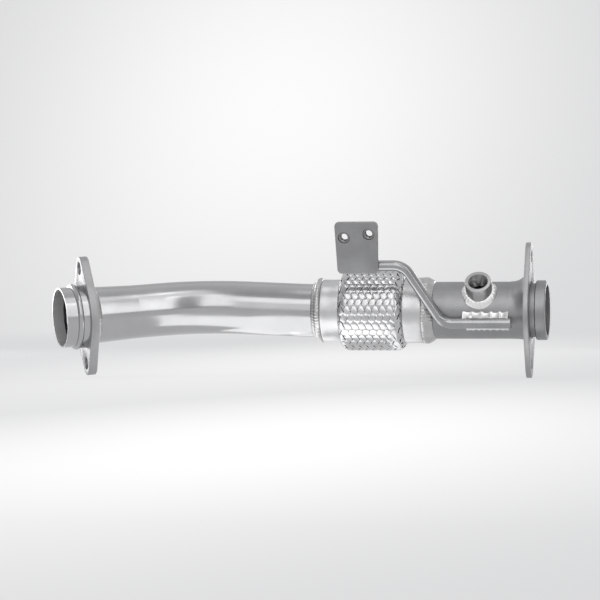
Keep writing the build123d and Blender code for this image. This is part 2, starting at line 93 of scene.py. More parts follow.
# Sizes repeated from the part
INLET_TUBE_R = 25.4 * MM
INLET_FLANGE_THICKNESS = 8.0 * MM
INLET_TURN = radians(29)
INLET_DIP = radians(4.3)
LEG = Vector((-cos(INLET_TURN) * cos(INLET_DIP), -sin(INLET_TURN) * cos(INLET_DIP), -sin(INLET_DIP)))
LEG_UP = (UP - LEG * LEG.z).normalized()
COLLAR_GAUGE = 1.75 * MM
SHOULDER = 8.0 * MM  # the sleeve's rounding at its ends
BOSS_LEAN = radians(41)
BOSS_AXIS = Vector((0, -cos(BOSS_LEAN), sin(BOSS_LEAN)))
BOSS_REACH = 41.5 * MM
BOSS_R = 12.5 * MM
BOSS_BORE_R = 8.2 * MM
BOSS_WELD_WIDTH = 4.6 * MM
BOSS_WELD_HEIGHT = 3.2 * MM
ROD_R = 5.0 * MM
ROD_SEAT = radians(22)
PLATE_LEAN = radians(14)
PLATE_OUT = Vector((0, -cos(PLATE_LEAN), -sin(PLATE_LEAN)))
PLATE_THICKNESS = 3.0 * MM
PLATE_BELOW = 6.0 * MM  # how far the bracket plate reaches below the bar's axis
NUT_PILOT_R = 5.25 * MM


def length_setting(name, description, default):
    return FloatProperty(name=name, description=description, default=default, unit="LENGTH")


def angle_setting(name, description, default):
    return FloatProperty(name=name, description=description, default=default, subtype="ANGLE")


def colour_setting(name, description, default):
    return FloatVectorProperty(
        name=name, description=description, default=default, size=3, min=0, max=1, subtype="COLOR"
    )


class SleeveSizes(bpy.types.PropertyGroup):
    """The woven wire sleeve."""

    bands: IntProperty(name="Bands", description="Wire bands of each hand", default=16, min=8, max=32)
    wires: IntProperty(name="Wires", description="Wires side by side in a band", default=8, min=4, max=12)
    lay: angle_setting("Lay", "Angle of the bands from the pipe's axis", radians(65))
    float_width: length_setting("Float width", "Width of a band where it passes over another", 5.7 * MM)
    tuck_width: length_setting("Tuck width", "Width of a band where it passes under", 4.3 * MM)
    crimp: length_setting("Crimp", "How far a band rises and falls as it weaves", 0.42 * MM)


class BeadSizes(bpy.types.PropertyGroup):
    """The weld beads."""

    ripple: length_setting("Ripple height", "Height of the ripples on a bead", 0.45 * MM)
    pitch: length_setting("Ripple pitch", "Distance from ripple to ripple", 3.4 * MM)
    scallop: length_setting("Scallop pitch", "Length of one scallop of the hanger's bead", 8.4 * MM)


class PlateSizes(bpy.types.PropertyGroup):
    """Edges and threads of the plates and fasteners."""

    edge: length_setting("Edge round", "Rounding of the flanges' edges", 0.7 * MM)
    bracket_edge: length_setting("Bracket edge", "Rounding of the bracket plate's edges", 0.5 * MM)
    sensor_pitch: length_setting("Sensor thread pitch", "Pitch of the thread in the boss", 1.5 * MM)
    nut_pitch: length_setting("Nut thread pitch", "Pitch of the thread in the weld nuts", 1.25 * MM)


class FinishColours(bpy.types.PropertyGroup):
    """The colour of each kind of steel surface."""

    polished_tube: colour_setting("Inlet tube", "Bright drawn tube and its spigot", (0.43, 0.432, 0.435))
    satin_tube: colour_setting("Outlet tube", "Duller tube and spigot", (0.31, 0.312, 0.315))
    flange_plate: colour_setting("Flanges", "Pressed flange plate", (0.4, 0.402, 0.405))
    weld_bead: colour_setting("Weld beads", "Bare weld metal", (0.5, 0.5, 0.498))
    # Weld beads at the boss and the hanger: their colour is weld metal lightened far above weld_bead's, as
    # a painted highlight
    bright_bead: colour_setting("Bright beads", "Smooth weld at boss and hanger", (0.86, 0.86, 0.858))
    collar_steel: colour_setting("Collars", "Crimp rings of the flex", (0.54, 0.542, 0.545))
    braid_wire: colour_setting("Braid wire", "Wire of the woven sleeve", (0.54, 0.542, 0.545))
    bellows_steel: colour_setting("Bellows", "Thin sheet inside the flex", (0.5, 0.5, 0.5))
    turned_steel: colour_setting("Turned steel", "Sensor boss", (0.46, 0.46, 0.463))
    nut_steel: colour_setting("Nut steel", "Phosphated weld nuts", (0.28, 0.28, 0.282))
    bar_steel: colour_setting("Hanger bar", "Drawn bar of the hanger", (0.36, 0.362, 0.365))
    pressed_plate: colour_setting("Bracket plate", "Pressed plate on the hanger", (0.3, 0.302, 0.305))


class StudioSettings(bpy.types.PropertyGroup):
    """Camera and backdrop."""

    azimuth: angle_setting("Azimuth", "Camera's turn to the outlet side", radians(10.2))
    elevation: angle_setting("Elevation", "Camera's height angle", radians(0.3))
    roll: angle_setting("Roll", "Camera's roll", radians(-0.16))
    distance: length_setting("Distance", "From the camera to the pipe", 3.0)
    backdrop: colour_setting("Backdrop", "Floor and backdrop", (0.86, 0.865, 0.87))


# Nodes of materials
def feed(tree, node, inputs):
    """Sets a node's inputs, by name or number, to plain values, or links them to sockets."""
    for key, value in inputs.items():
        if isinstance(value, bpy.types.NodeSocket):
            tree.links.new(value, node.inputs[key])
        else:
            node.inputs[key].default_value = value


def add_node(tree, kind, inputs=None, **settings):
    node = tree.nodes.new("ShaderNode" + kind)
    for key, value in settings.items():
        setattr(node, key, value)
    feed(tree, node, inputs or {})
    return node


def grain(tree, scale, detail, stretch=(1, 1, 1)):
    """Noise in the piece's own metres; stretch squeezes it along X, Y and Z."""
    place = add_node(tree, "TexCoord").outputs["Object"]
    squeezed = add_node(tree, "Mapping", {"Vector": place, "Scale": stretch}).outputs["Vector"]
    inputs = {"Vector": squeezed, "Scale": scale, "Detail": detail, "Roughness": 0.55}
    return add_node(tree, "TexNoise", inputs).outputs["Fac"]


def map_range(tree, value, low, high, start=0.0, end=1.0, interpolation="LINEAR"):
    """Goes from low to high while the value goes from start to end, and no further."""
    inputs = {"Value": value, "From Min": start, "From Max": end, "To Min": low, "To Max": high}
    return add_node(tree, "MapRange", inputs, interpolation_type=interpolation).outputs["Result"]


def ramp_between(tree, value, low, high, start=0.0, end=1.0):
    """A colour that goes from low to high while the value goes from start to end."""
    ramp = add_node(tree, "ValToRGB", {"Fac": value})
    stops = ramp.color_ramp.elements
    stops[0].position, stops[1].position = start, end
    stops[0].color, stops[1].color = (*low, 1), (*high, 1)
    return ramp.outputs["Color"]


def distance_from(tree, centre, operation, vector):
    """Length of the way from a centre, once that is crossed with, or divided by, a vector."""
    place = add_node(tree, "TexCoord").outputs["Object"]
    away = add_node(tree, "VectorMath", {0: place, 1: centre}, operation="SUBTRACT").outputs[0]
    measured = add_node(tree, "VectorMath", {0: away, 1: vector}, operation=operation).outputs[0]
    return add_node(tree, "VectorMath", {0: measured}, operation="LENGTH").outputs["Value"]


def inside_of(tree, centre, axis, radius):
    """1 nearer to a bore's axis than the radius, else 0, with a narrow soft edge."""
    soft_edge = 0.2 * MM
    reach = distance_from(tree, centre, "CROSS_PRODUCT", axis)
    return map_range(tree, reach, 1.0, 0.0, radius - soft_edge, radius)


def steel(name, colour, roughness, spread, mottle, drawn, pits):
    """A metal whose colour mottles, whose gloss varies and whose surface has drawn lines and pits."""
    material = bpy.data.materials.new(name + "_finish")
    material.use_nodes = True
    tree = material.node_tree
    mottle_scale, mottle_share = mottle
    line_scale, line_strength, line_stretch = drawn
    pit_scale, pit_strength = pits
    wear_scale = mottle_scale * 2.6  # the gloss varies more finely than the colour
    dark = [value * (1 - mottle_share) for value in colour]
    light = [min(1, value * (1 + mottle_share)) for value in colour]
    lines = {
        "Height": grain(tree, line_scale, 3, line_stretch),
        "Strength": line_strength,
        "Distance": 0.1 * MM,
    }
    specks = {
        "Height": grain(tree, pit_scale, 4),
        "Strength": pit_strength,
        "Distance": 0.25 * MM,
        "Normal": add_node(tree, "Bump", lines).outputs["Normal"],
    }
    surface = {
        "Metallic": 1,
        "Base Color": ramp_between(tree, grain(tree, mottle_scale, 5), dark, light, 0.35, 0.65),
        "Roughness": map_range(
            tree, grain(tree, wear_scale, 6), roughness - spread, roughness + spread, 0.3, 0.7
        ),
        "Normal": add_node(tree, "Bump", specks).outputs["Normal"],
    }
    feed(tree, tree.nodes["Principled BSDF"], surface)
    return material


# For each finish: roughness and its spread, mottle (scale, share), drawn lines (scale, strength, stretch)
# and pits (scale, strength)
ROUND_X = (0.04, 1, 1)
ACROSS_X = (1, 0.05, 0.05)
ALONG_Z = (1, 1, 0.05)
EVEN = (1, 1, 1)
FINISHES = {
    "polished_tube": (0.2, 0.04, (14, 0.05), (900, 0.08, ROUND_X), (45, 0.05)),
    "satin_tube": (0.42, 0.05, (30, 0.08), (900, 0.15, ACROSS_X), (120, 0.06)),
    "flange_plate": (0.46, 0.06, (45, 0.1), (700, 0.12, EVEN), (260, 0.15)),
    "weld_bead": (0.3, 0.05, (90, 0.1), (500, 0.06, EVEN), (300, 0.08)),
    # bright_bead: a copy of weld_bead's finish whose lighter colour is a painted highlight
    "bright_bead": (0.34, 0.05, (70, 0.05), (500, 0.05, EVEN), (200, 0.06)),
    "smooth_fillet": (0.4, 0.05, (40, 0.08), (500, 0.06, EVEN), (150, 0.08)),
    "collar_steel": (0.36, 0.05, (40, 0.06), (900, 0.1, ACROSS_X), (120, 0.06)),
    "braid_wire": (0.22, 0.05, (120, 0.1), (1500, 0.08, EVEN), (400, 0.04)),
    "bellows_steel": (0.35, 0.06, (60, 0.1), (900, 0.1, ACROSS_X), (300, 0.08)),
    "turned_steel": (0.32, 0.05, (60, 0.08), (1400, 0.1, EVEN), (400, 0.05)),
    "nut_steel": (0.36, 0.05, (60, 0.1), (1400, 0.1, EVEN), (400, 0.08)),
    "bar_steel": (0.22, 0.04, (50, 0.06), (1200, 0.1, ROUND_X), (200, 0.05)),
    "pressed_plate": (0.45, 0.06, (50, 0.08), (900, 0.15, ALONG_Z), (320, 0.1)),
}


def finish_of(slot, kind=None):
    """The material of a slot, made once; kind names a variant, which has the slot's values or its own."""
    kind = kind or slot
    made = bpy.data.materials.get(kind + "_finish")
    if made:
        return made
    colours = bpy.context.scene.exhaust_finish
    colour = getattr(colours, kind, getattr(colours, slot))
    return steel(kind, colour, *FINISHES.get(kind, FINISHES.get(slot)))


# Mesh building
def place_object(name, data):
    placed = bpy.data.objects.new(name, data)
    bpy.context.scene.collection.objects.link(placed)
    return placed


def smooth_mesh(name, mesh):
    data = bpy.data.meshes.new(name)
    mesh.to_mesh(data)
    mesh.free()
    data.shade_smooth()
    return data


def add_piece(name, mesh, slot, nodes, crease=radians(32), kind=None):
    """Links a mesh as a piece of the pipe that stands for CAD nodes."""
    bmesh.ops.remove_doubles(mesh, verts=mesh.verts, dist=1e-7)
    bmesh.ops.dissolve_degenerate(mesh, edges=mesh.edges, dist=1e-7)
    bmesh.ops.recalc_face_normals(mesh, faces=mesh.faces)
    if not mesh.faces:
        raise RuntimeError(name + " has no faces")
    data = smooth_mesh(name, mesh)
    data.set_sharp_from_angle(angle=crease)
    data.materials.append(finish_of(slot, kind))
    piece = place_object(name, data)
    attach(piece, "root")
    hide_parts(*nodes)
    return piece


def join_loops(mesh, loops, closed):
    """Quads between loops of equal length; closed joins the last loop to the first."""
    rings = [[mesh.verts.new(point) for point in loop] for loop in loops]
    pairs = list(zip(rings, rings[1:]))
    if closed:
        pairs.append((rings[-1], rings[0]))
    for first, second in pairs:
        for i in range(len(first)):
            j = (i + 1) % len(first)
            mesh.faces.new((first[i], first[j], second[j], second[i]))
    return rings


def capped(mesh, loops):
    """Quads between loops, and a face over each end."""
    rings = join_loops(mesh, loops, False)
    mesh.faces.new(rings[0])
    mesh.faces.new(rings[-1])


def frame_matrix(origin, x, y):
    """Places local x, y and z = x cross y at origin."""
    z = x.cross(y)
    return Matrix.Translation(origin) @ Matrix((x, y, z)).transposed().to_4x4()


def turned(place, segments, outline_at):
    """A ring turned round local x; outline_at(turn) is its closed outline of (along, radius) points."""
    loops = []
    for index in range(segments):
        turn = 2 * pi * index / segments
        outline = outline_at(turn)
        loops.append([place @ Vector((along, r * cos(turn), r * sin(turn))) for along, r in outline])
    mesh = bmesh.new()
    join_loops(mesh, loops, True)
    return mesh


def quarter(centre, radius, start, end, steps):
    """(along, radius) points on an arc between two angles given in degrees."""
    points = []
    for step in range(steps + 1):
        angle = radians(start + (end - start) * step / steps)
        points.append((centre[0] + radius * cos(angle), centre[1] + radius * sin(angle)))
    return points


def lumps(seed, orders, size):
    """A smooth random height round a ring, the same on each run."""
    rng = Random(seed)
    waves = [(order, rng.uniform(0.4, 1) * size, rng.uniform(0, 2 * pi)) for order in orders]
    return lambda angle: sum(part * sin(order * angle + shift) for order, part, shift in waves)


def hump(phase, fullness):
    """A rounded rise from 0 to 1 and back while the phase goes from 0 to 1; a fuller one is flatter."""
    return 1 - abs(2 * phase - 1) ** fullness


def ripple(place, bow):
    """Overlapping crescents: place counts the ripples, bow bends each one forward in the middle."""
    return hump((place + bow) % 1, 2.2)


def arc_points(start, end, bulge, steps):
    """Points from start to end (both 2-D vectors), bowed to the left of the line by bulge."""
    line = end - start
    side = Vector((-line.y, line.x)).normalized()
    points = []
    for step in range(steps + 1):
        share = step / steps
        points.append(start + line * share + side * bulge * 4 * share * (1 - share))
    return points


def heading(points, index):
    """The way from the point before to the point after one of a line's points."""
    return points[min(index + 1, len(points) - 1)] - points[max(index - 1, 0)]


class EXHAUST_OT_tube_finish(bpy.types.Operator):
    """Give the tubes, spigots, bellows and liner their finishes"""

    bl_idname = "exhaust.tube_finish"
    bl_label = "Tubes and Spigots"

    bore_r = 27.6 * MM  # between the spigot's bore and its outside
    bore_dulled = 0.97

    def dull_bore(self, material):
        """Inside the inlet spigot the steel is matt and no mirror."""
        tree = material.node_tree
        inside = inside_of(tree, box_middle("inlet_flange"), LEG, self.bore_r)
        metal = map_range(tree, inside, 1.0, 1 - self.bore_dulled)
        feed(tree, tree.nodes["Principled BSDF"], {"Metallic": metal})

    def execute(self, context):
        open_end = finish_of("polished_tube", "open_spigot")
        self.dull_bore(open_end)
        finishes = {
            "inlet_spigot": open_end,
            "inlet_tube": finish_of("polished_tube"),
            "outlet_tube": finish_of("satin_tube"),
            "outlet_spigot": finish_of("satin_tube"),
            "outlet_flange_weld": finish_of("satin_tube", "smooth_fillet"),
            "bellows": finish_of("bellows_steel"),
            "interlock_liner": finish_of("bellows_steel"),
        }
        for node, finish in finishes.items():
            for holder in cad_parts[node].material_slots:
                holder.material = finish
        return {"FINISHED"}


class EXHAUST_OT_woven_sleeve(bpy.types.Operator):
    """Weave the flat wire bands of the sleeve over a dark inner wall"""

    bl_idname = "exhaust.woven_sleeve"
    bl_label = "Woven Sleeve"

    steps_per_crossing = 8
    fine_step = 0.05 * MM  # along the wall, while a band is laid out
    end_turn = radians(88)  # how far a band follows the rounded shoulder
    flattest = 0.95  # the largest cosine of a band's angle from the axis
    snap = 1.5  # how quickly a band changes from over to under
    ridge = 0.07 * MM  # each wire above the grooves beside it
    crown = 0.34 * MM  # a band's middle above its edges
    half_thickness = 0.28 * MM
    skin = half_thickness * 0.2  # the edges of a band's outer side above its middle line
    underside = (0.9, 0, -0.9)  # places across a band's inner side, in half widths
    cover = 0.02 * MM  # kept clear inside the CAD sleeve's outer radius
    wall_gap = 0.95 * MM  # from the bands' middle line in to the wall
    wall_gauge = 0.5 * MM

    def meridian(self, along):
        """Place, radius and outward tilt at a distance along the sleeve's wall from its middle."""
        middle = (BODY_LEFT + BODY_RIGHT) / 2
        flat = (BODY_RIGHT - BODY_LEFT) / 2 - SHOULDER
        side = 1 if along > 0 else -1
        tilt = max(0, abs(along) - flat) / SHOULDER
        reach = min(abs(along), flat) + SHOULDER * sin(tilt)
        return middle + side * reach, self.radius - SHOULDER * (1 - cos(tilt)), side * tilt

    def lay_out(self, sizes):
        """Steps along one band: (distance along the wall, turn round the pipe)."""
        end = (BODY_RIGHT - BODY_LEFT) / 2 - SHOULDER + SHOULDER * self.end_turn
        target = pi / sizes.bands / self.steps_per_crossing
        pitch = self.radius * cos(sizes.lay)  # wall radius times the lay's cosine stays the same
        steps, along, turn = [(0, 0)], 0, 0
        while along < end:
            radius = self.meridian(along)[1]
            lay = acos(min(self.flattest, pitch / radius))
            turn += self.fine_step * tan(lay) / radius
            along += self.fine_step
            if turn >= target * len(steps):
                steps.append((along, turn))
        return [(-a, -t) for a, t in reversed(steps[1:])] + steps

    def band(self, mesh, steps, first, hand, sizes):
        """One band from end to end: its wires are ridges, and it narrows where it passes under."""
        points, outwards = [], []
        for along, turn in steps:
            place, radius, tilt = self.meridian(along)
            angle = first + hand * turn
            ray = Vector((0, cos(angle), sin(angle)))
            points.append(ALONG * place + ray * radius)
            outwards.append((ray * cos(tilt) + ALONG * sin(tilt), hand * cos(turn * sizes.bands)))
        loops = []
        for index, point in enumerate(points):
            outward, weave = outwards[index]
            across = outward.cross(heading(points, index)).normalized()
            over = max(-1, min(1, self.snap * weave))
            width = sizes.tuck_width + (sizes.float_width - sizes.tuck_width) * (over + 1) / 2
            lift = sizes.crimp * sin(over * pi / 2)
            loop = []
            for number in range(2 * sizes.wires + 1):
                share = number / sizes.wires - 1
                rise = self.crown * (1 - share * share) + (self.ridge if number % 2 else 0)
                loop.append(point + across * width / 2 * share + outward * (lift + rise + self.skin))
            for share in self.underside:
                loop.append(point + across * width / 2 * share + outward * (lift - self.half_thickness))
            loops.append(loop)
        capped(mesh, loops)

    def wall_line(self, distance):
        """The wall's line from end to end at a distance inside its outer face."""
        rounding = SHOULDER - self.wall_gap - distance
        level = self.radius - self.wall_gap - distance - rounding
        cuff_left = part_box("inlet_collar")[1].z - COLLAR_GAUGE - distance
        cuff_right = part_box("outlet_collar")[1].z - COLLAR_GAUGE - distance
        return [
            (FLEX_LEFT, cuff_left),
            (BODY_LEFT + self.wall_gap + distance * 0.9, cuff_left),
            *quarter((BODY_LEFT + SHOULDER, level), rounding, 180, 90, 8),
            *quarter((BODY_RIGHT - SHOULDER, level), rounding, 90, 0, 8),
            (BODY_RIGHT - self.wall_gap - distance, cuff_right),
            (FLEX_RIGHT, cuff_right),
        ]

    def execute(self, context):
        sizes = context.scene.exhaust_sleeve
        self.radius = SLEEVE_R - (sizes.crimp + self.crown + self.ridge + self.skin + self.cover)
        steps = self.lay_out(sizes)
        for name, hand in (("right_hand_bands", 1), ("left_hand_bands", -1)):
            mesh = bmesh.new()
            for number in range(sizes.bands):
                self.band(mesh, steps, 2 * pi * number / sizes.bands, hand, sizes)
            add_piece(name, mesh, "braid_wire", ["outer_braid"], crease=radians(75))
        outline = self.wall_line(0) + self.wall_line(self.wall_gauge)[::-1]
        mesh = turned(Matrix.Identity(4), 128, lambda turn: outline)
        add_piece("sleeve_wall", mesh, "bellows_steel", ["outer_braid"])
        return {"FINISHED"}


class EXHAUST_OT_collars(bpy.types.Operator):
    """Press the two crimp rings over the sleeve's ends"""

    bl_idname = "exhaust.collars"
    bl_label = "Crimp Collars"

    segments = 160
    roll = 1.0 * MM  # rounding of a ring's outer edges
    groove = 0.22 * MM  # depth of the pressed band round its middle
    wobble = 0.05 * MM
    cover = 0.1 * MM  # kept clear inside the CAD ring's outside, for the wobble

    def execute(self, context):
        roll = self.roll
        for node in ("inlet_collar", "outlet_collar"):
            low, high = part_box(node)
            outer, inner = high.z, high.z - COLLAR_GAUGE
            flat = high.x - low.x - 2 * roll
            skin = quarter((low.x + roll, outer - roll), roll, 180, 90, 5)
            for share in [step / 12 for step in range(1, 12)]:
                skin.append((low.x + roll + flat * share, outer - self.groove * sin(pi * share) ** 2))
            skin += quarter((high.x - roll, outer - roll), roll, 90, 0, 5)
            height = lumps(len(node), (2, 3, 5, 8), self.wobble)

            def outline_at(turn):
                more = height(turn) - self.cover
                return [(low.x, inner), *((along, r + more) for along, r in skin), (high.x, inner)]

            mesh = turned(Matrix.Identity(4), self.segments, outline_at)
            add_piece(node + "_ring", mesh, "collar_steel", [node])
        return {"FINISHED"}


class EXHAUST_OT_ring_beads(bpy.types.Operator):
    """Lay the rippled beads round the tubes"""

    bl_idname = "exhaust.ring_beads"
    bl_label = "Ring Beads"

    segments_per_ripple = 7
    sink = 0.4 * MM  # how deep a bead's hidden side lies in the metal beside it
    knee = 0.62  # share of a collar bead's length from the collar to where it turns down to the tube
    tail_bulge = 0.3 * MM
    flange_leg = 4.0 * MM
    flange_bulge = 0.5 * MM
    spigot_bore_r = 26.9 * MM

    def lay(self, name, node, place, skin, core, beads, ring_r, rough, seed):
        """A rippled bead round local x; skin is its outer (along, radius) points, core the hidden ones."""
        count = round(2 * pi * ring_r / beads.pitch)
        wander = lumps(seed, (2, 3, 5, 7, 11, 17, 23), rough / 7)
        slip = lumps(seed + 1, (3, 4, 9), 0.16)

        def outline_at(turn):
            outline = []
            for number, point in enumerate(skin):
                share = number / (len(skin) - 1)
                weight = sin(pi * share) ** 0.6 if 0 < share < 1 else 0
                crescent = ripple(count * turn / (2 * pi) + slip(turn), 1.1 * share * (1 - share))
                more = weight * (beads.ripple * (crescent - 0.6) + wander(turn))
                line = heading(skin, number).normalized()
                outward = (1 if line.y < 0 else -1) * (1 if line.x > 0 else -1)
                outline.append((point.x + more * abs(line.y) * outward, point.y + more * abs(line.x)))
            return outline + core

        mesh = turned(place, self.segments_per_ripple * count, outline_at)
        add_piece(name, mesh, "weld_bead", [node], crease=radians(60))

    def collar_bead(self, end, side, tube_r, rise, beads, rough, seed):
        """The bead from a collar's face down to the tube; side is the way it faces along X."""
        low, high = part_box(end + "_collar_weld")
        collar_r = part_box(end + "_collar")[1].z
        face = high.x if side < 0 else low.x
        length = high.x - low.x
        turn_down = Vector((length * self.knee, collar_r - (collar_r - tube_r) / 3))
        skin = arc_points(Vector((0, collar_r)), turn_down, rise, 9)
        skin += arc_points(skin[-1], Vector((length, tube_r)), self.tail_bulge, 4)[1:]
        core = [(length, tube_r - self.sink), (0, tube_r - self.sink)]
        place = frame_matrix(Vector((face, 0, 0)), ALONG * side, Vector((0, 1, 0)))
        self.lay(end + "_bead", end + "_collar_weld", place, skin, core, beads, collar_r, rough, seed)

    def execute(self, context):
        beads = context.scene.exhaust_beads
        self.collar_bead("inlet", -1, INLET_TUBE_R, 1.9 * MM, beads, 0.5 * MM, 4)
        self.collar_bead("outlet", 1, OUTLET_TUBE_R, 0.8 * MM, beads, 1.1 * MM, 9)

        bore_r, leg = self.spigot_bore_r, self.flange_leg
        origin = box_middle("inlet_flange") - LEG * INLET_FLANGE_THICKNESS / 2
        place = frame_matrix(origin, -LEG, LEG_UP)
        heel, toe = Vector((0, bore_r + leg)), Vector((leg, bore_r - self.sink))
        skin = arc_points(heel, toe, self.flange_bulge, 8)
        core = [(leg / 2, bore_r - 2 * self.sink), (0, bore_r - self.sink)]
        piece, node = "inlet_flange_bead", "inlet_flange_weld"
        self.lay(piece, node, place, skin, core, beads, bore_r, 0.3 * MM, 21)
        return {"FINISHED"}


class EXHAUST_OT_seat_beads(bpy.types.Operator):
    """Lay the beads along the hanger bar's seat and under the bracket plate"""

    bl_idname = "exhaust.seat_beads"
    bl_label = "Hanger Beads"

    step = 0.5 * MM
    bite = 0.35 * MM  # how deep a bead's edges lie in the metal beside it
    jitter = 0.12  # of a scallop's start, in scallops
    widening = 0.16  # of the bead at a full scallop, as a share of its width
    end_height = 0.15  # of the bead's ends, as a share of its height

    def strip(self, name, node, top, foot, hidden, bulge, pitch, deep, seed):
        """A bead along X between two lines in the YZ plane, its skin scalloped with the pitch."""
        low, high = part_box(node)
        rng = Random(seed)
        length = high.x - low.x
        steps = round(length / self.step)
        scallops = round(length / pitch)
        starts = [index + rng.uniform(-self.jitter, self.jitter) for index in range(scallops + 1)]
        starts[0], starts[-1] = 0, scallops
        sizes = [rng.uniform(0.8, 1.1) for _ in starts]
        loops = []
        for step in range(steps + 1):
            share = step / steps * scallops
            index = max(i for i, start in enumerate(starts) if start <= share or i == 0)
            index = min(index, scallops - 1)
            local = (share - starts[index]) / (starts[index + 1] - starts[index])
            swell = sizes[index] * hump(local, 2.4)
            taper = min(1, 6 * min(step, steps - step) / steps + self.end_height)
            crest = bulge * (1 - deep + deep * swell) * taper
            widen = (foot - top) * self.widening * (swell - 0.5) * deep * 2
            outline = arc_points(top - widen * 0.6, foot + widen, crest, 10) + hidden
            loops.append([Vector((low.x + length * step / steps, point.x, point.y)) for point in outline])
        mesh = bmesh.new()
        capped(mesh, loops)
        # the hanger's beads take the lighter colour of the painted highlight
        add_piece(name, mesh, "weld_bead", [node], crease=radians(60), kind="bright_bead")

    def execute(self, context):
        scallop = context.scene.exhaust_beads.scallop
        bite = self.bite
        reach = OUTLET_TUBE_R + ROD_R
        seat = Vector((-cos(ROD_SEAT), -sin(ROD_SEAT))) * reach
        hidden = [seat * ((OUTLET_TUBE_R - bite) / reach), seat * ((OUTLET_TUBE_R + 2 * bite) / reach)]
        # side, where the bead starts on the bar and ends on the tube (degrees), pitch, bulge, depth, seed
        for name, side, on_bar, on_tube, pitch, bulge, deep, seed in (
            ("upper", 1, 128, 21, scallop, 1.3 * MM, 0.7, 5),
            ("lower", -1, 148, 24, scallop * 0.7, 1.0 * MM, 0.4, 6),
        ):
            brow = radians(on_bar * side)
            top = seat + Vector((cos(brow), sin(brow))) * (ROD_R - bite)
            turn = radians(on_tube * side) - ROD_SEAT
            foot = Vector((-cos(turn), sin(turn))) * (OUTLET_TUBE_R - bite)
            piece, node = "hanger_" + name + "_bead", "rod_" + name + "_weld"
            self.strip(piece, node, top, foot, hidden, -bulge * side, pitch, deep, seed)

        # the short bead between the bar's underside and the plate's lower edge
        low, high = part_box("bracket_rod")
        rod = Vector((low.y + ROD_R, high.z - ROD_R))
        out = Vector((PLATE_OUT.y, PLATE_OUT.z))
        down = Vector((-out.y, out.x))
        edge = rod + out * (ROD_R + PLATE_THICKNESS * 0.75) + down * (PLATE_BELOW - 0.3 * MM)
        foot = rod + out * ROD_R * 0.45 + down * ROD_R * 0.87
        hidden = [
            rod + out * ROD_R * 0.8 + down * ROD_R * 0.4,
            rod + out * (ROD_R + PLATE_THICKNESS / 2) + down * 4 * MM,
        ]
        self.strip("plate_bead", "plate_rod_weld", edge, foot, hidden, -0.9 * MM, scallop * 0.55, 0.5, 8)
        return {"FINISHED"}


def thread(turn, along, pitch, depth):
    """How far a female thread's flank lies outside its minor radius; its crest and root are flat."""
    phase = (along / pitch - turn / (2 * pi)) % 1
    return depth * max(0, min(1, 1.35 * hump(phase, 1) - 0.15))


def tube_height(radius, turn):
    """How far up the boss's axis the outlet tube's surface lies, at a radius and a turn round it."""
    return sqrt(OUTLET_TUBE_R**2 - (radius * sin(turn)) ** 2)


